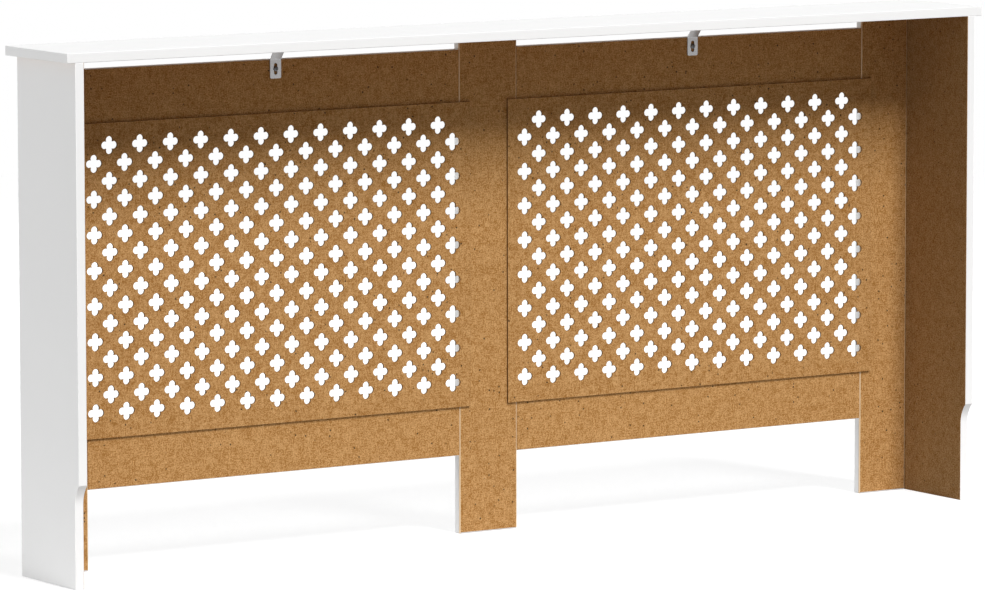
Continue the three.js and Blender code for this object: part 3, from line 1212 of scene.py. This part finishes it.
def make_camera():
    azimuth, elevation, roll = (
        math.radians(angle) for angle in (CAMERA_AZIMUTH, CAMERA_ELEVATION, CAMERA_ROLL)
    )
    flat = math.cos(elevation)
    back = Vector((math.sin(azimuth) * flat, -math.cos(azimuth) * flat, math.sin(elevation)))
    data = bpy.data.cameras.new("camera")
    data.sensor_fit = "HORIZONTAL"
    data.sensor_width = SENSOR
    data.lens = FOCAL_PIXELS * SENSOR / IMAGE_WIDTH
    data.clip_start, data.clip_end = 0.1, 200
    camera = bpy.data.objects.new("camera", data)
    bpy.context.scene.collection.objects.link(camera)
    camera.location = CAMERA_TARGET + back * CAMERA_DISTANCE
    camera.rotation_mode = "QUATERNION"
    level = (-back).to_track_quat("-Z", "Y")
    camera.rotation_quaternion = level @ Matrix.Rotation(-roll, 3, "Z").to_quaternion()
    bpy.context.scene.camera = camera


def make_stage():
    bpy.context.scene.view_settings.view_transform = "Standard"
    make_camera()
    make_world()
    make_lamps()
    make_floor()


# ---- Operators ----


class RADIATORCOVER_OT_stage(bpy.types.Operator):
    """Add the floor, the lamps, the plain background and the camera"""

    bl_idname = "radiator_cover.stage"
    bl_label = "Stage"
    bl_options = {"REGISTER", "UNDO"}

    def execute(self, _context):
        make_stage()
        return {"FINISHED"}


class RADIATORCOVER_OT_shelf(bpy.types.Operator):
    """Make the shelf along the top"""

    bl_idname = "radiator_cover.shelf"
    bl_label = "Shelf"
    bl_options = {"REGISTER", "UNDO"}

    def execute(self, _context):
        make_shelf()
        return {"FINISHED"}


class RADIATORCOVER_OT_side_panels(bpy.types.Operator):
    """Make both side panels, with their skirting notches"""

    bl_idname = "radiator_cover.side_panels"
    bl_label = "Side panels"
    bl_options = {"REGISTER", "UNDO"}

    def execute(self, _context):
        make_side_panels()
        return {"FINISHED"}


class RADIATORCOVER_OT_frame(bpy.types.Operator):
    """Make the stiles and rails of the front frame"""

    bl_idname = "radiator_cover.frame"
    bl_label = "Front frame"
    bl_options = {"REGISTER", "UNDO"}

    def execute(self, _context):
        make_frame()
        return {"FINISHED"}


class RADIATORCOVER_OT_grilles(bpy.types.Operator):
    """Make the two pierced grilles"""

    bl_idname = "radiator_cover.grilles"
    bl_label = "Grilles"
    bl_options = {"REGISTER", "UNDO"}

    def execute(self, _context):
        make_grilles()
        return {"FINISHED"}


class RADIATORCOVER_OT_brackets(bpy.types.Operator):
    """Make the brackets between the top rails and the shelf"""

    bl_idname = "radiator_cover.brackets"
    bl_label = "Brackets"
    bl_options = {"REGISTER", "UNDO"}

    def execute(self, _context):
        make_brackets()
        return {"FINISHED"}


class RADIATORCOVER_OT_screws(bpy.types.Operator):
    """Make the screws that hold the brackets"""

    bl_idname = "radiator_cover.screws"
    bl_label = "Screws"
    bl_options = {"REGISTER", "UNDO"}

    def execute(self, _context):
        make_screws()
        return {"FINISHED"}


class RADIATORCOVER_OT_dowels(bpy.types.Operator):
    """Make the dowels inside the joints"""

    bl_idname = "radiator_cover.dowels"
    bl_label = "Dowels"
    bl_options = {"REGISTER", "UNDO"}

    def execute(self, _context):
        make_dowels()
        return {"FINISHED"}


STEPS = (
    RADIATORCOVER_OT_stage,
    RADIATORCOVER_OT_shelf,
    RADIATORCOVER_OT_side_panels,
    RADIATORCOVER_OT_frame,
    RADIATORCOVER_OT_grilles,
    RADIATORCOVER_OT_brackets,
    RADIATORCOVER_OT_screws,
    RADIATORCOVER_OT_dowels,
)


class RADIATORCOVER_PT_panel(bpy.types.Panel):
    """Lists the steps, sizes and colours of the cover"""

    bl_idname = "RADIATORCOVER_PT_panel"
    bl_label = "Radiator Cover"
    bl_space_type = "VIEW_3D"
    bl_region_type = "UI"
    bl_category = "Radiator Cover"

    def draw(self, context):
        for step in STEPS:
            self.layout.operator(step.bl_idname)
        scene = context.scene
        for group in (scene.radiator_cover_sizes, scene.radiator_cover_colours):
            column = self.layout.column()
            for name in group.bl_rna.properties.keys():
                if name not in ("rna_type", "name"):
                    column.prop(group, name)


CLASSES = (RadiatorCoverSizes, RadiatorCoverColours, *STEPS, RADIATORCOVER_PT_panel)


def register():
    for each in CLASSES:
        bpy.utils.register_class(each)
    bpy.types.Scene.radiator_cover_sizes = bpy.props.PointerProperty(type=RadiatorCoverSizes)
    bpy.types.Scene.radiator_cover_colours = bpy.props.PointerProperty(type=RadiatorCoverColours)


def unregister():
    del bpy.types.Scene.radiator_cover_colours
    del bpy.types.Scene.radiator_cover_sizes
    for each in reversed(CLASSES):
        bpy.utils.unregister_class(each)


def main():
    register()
    bpy.ops.radiator_cover.stage()
    bpy.ops.radiator_cover.shelf()
    bpy.ops.radiator_cover.side_panels()
    bpy.ops.radiator_cover.frame()
    bpy.ops.radiator_cover.grilles()
    bpy.ops.radiator_cover.brackets()
    bpy.ops.radiator_cover.screws()
    bpy.ops.radiator_cover.dowels()


if __name__ == "__main__":
    main()
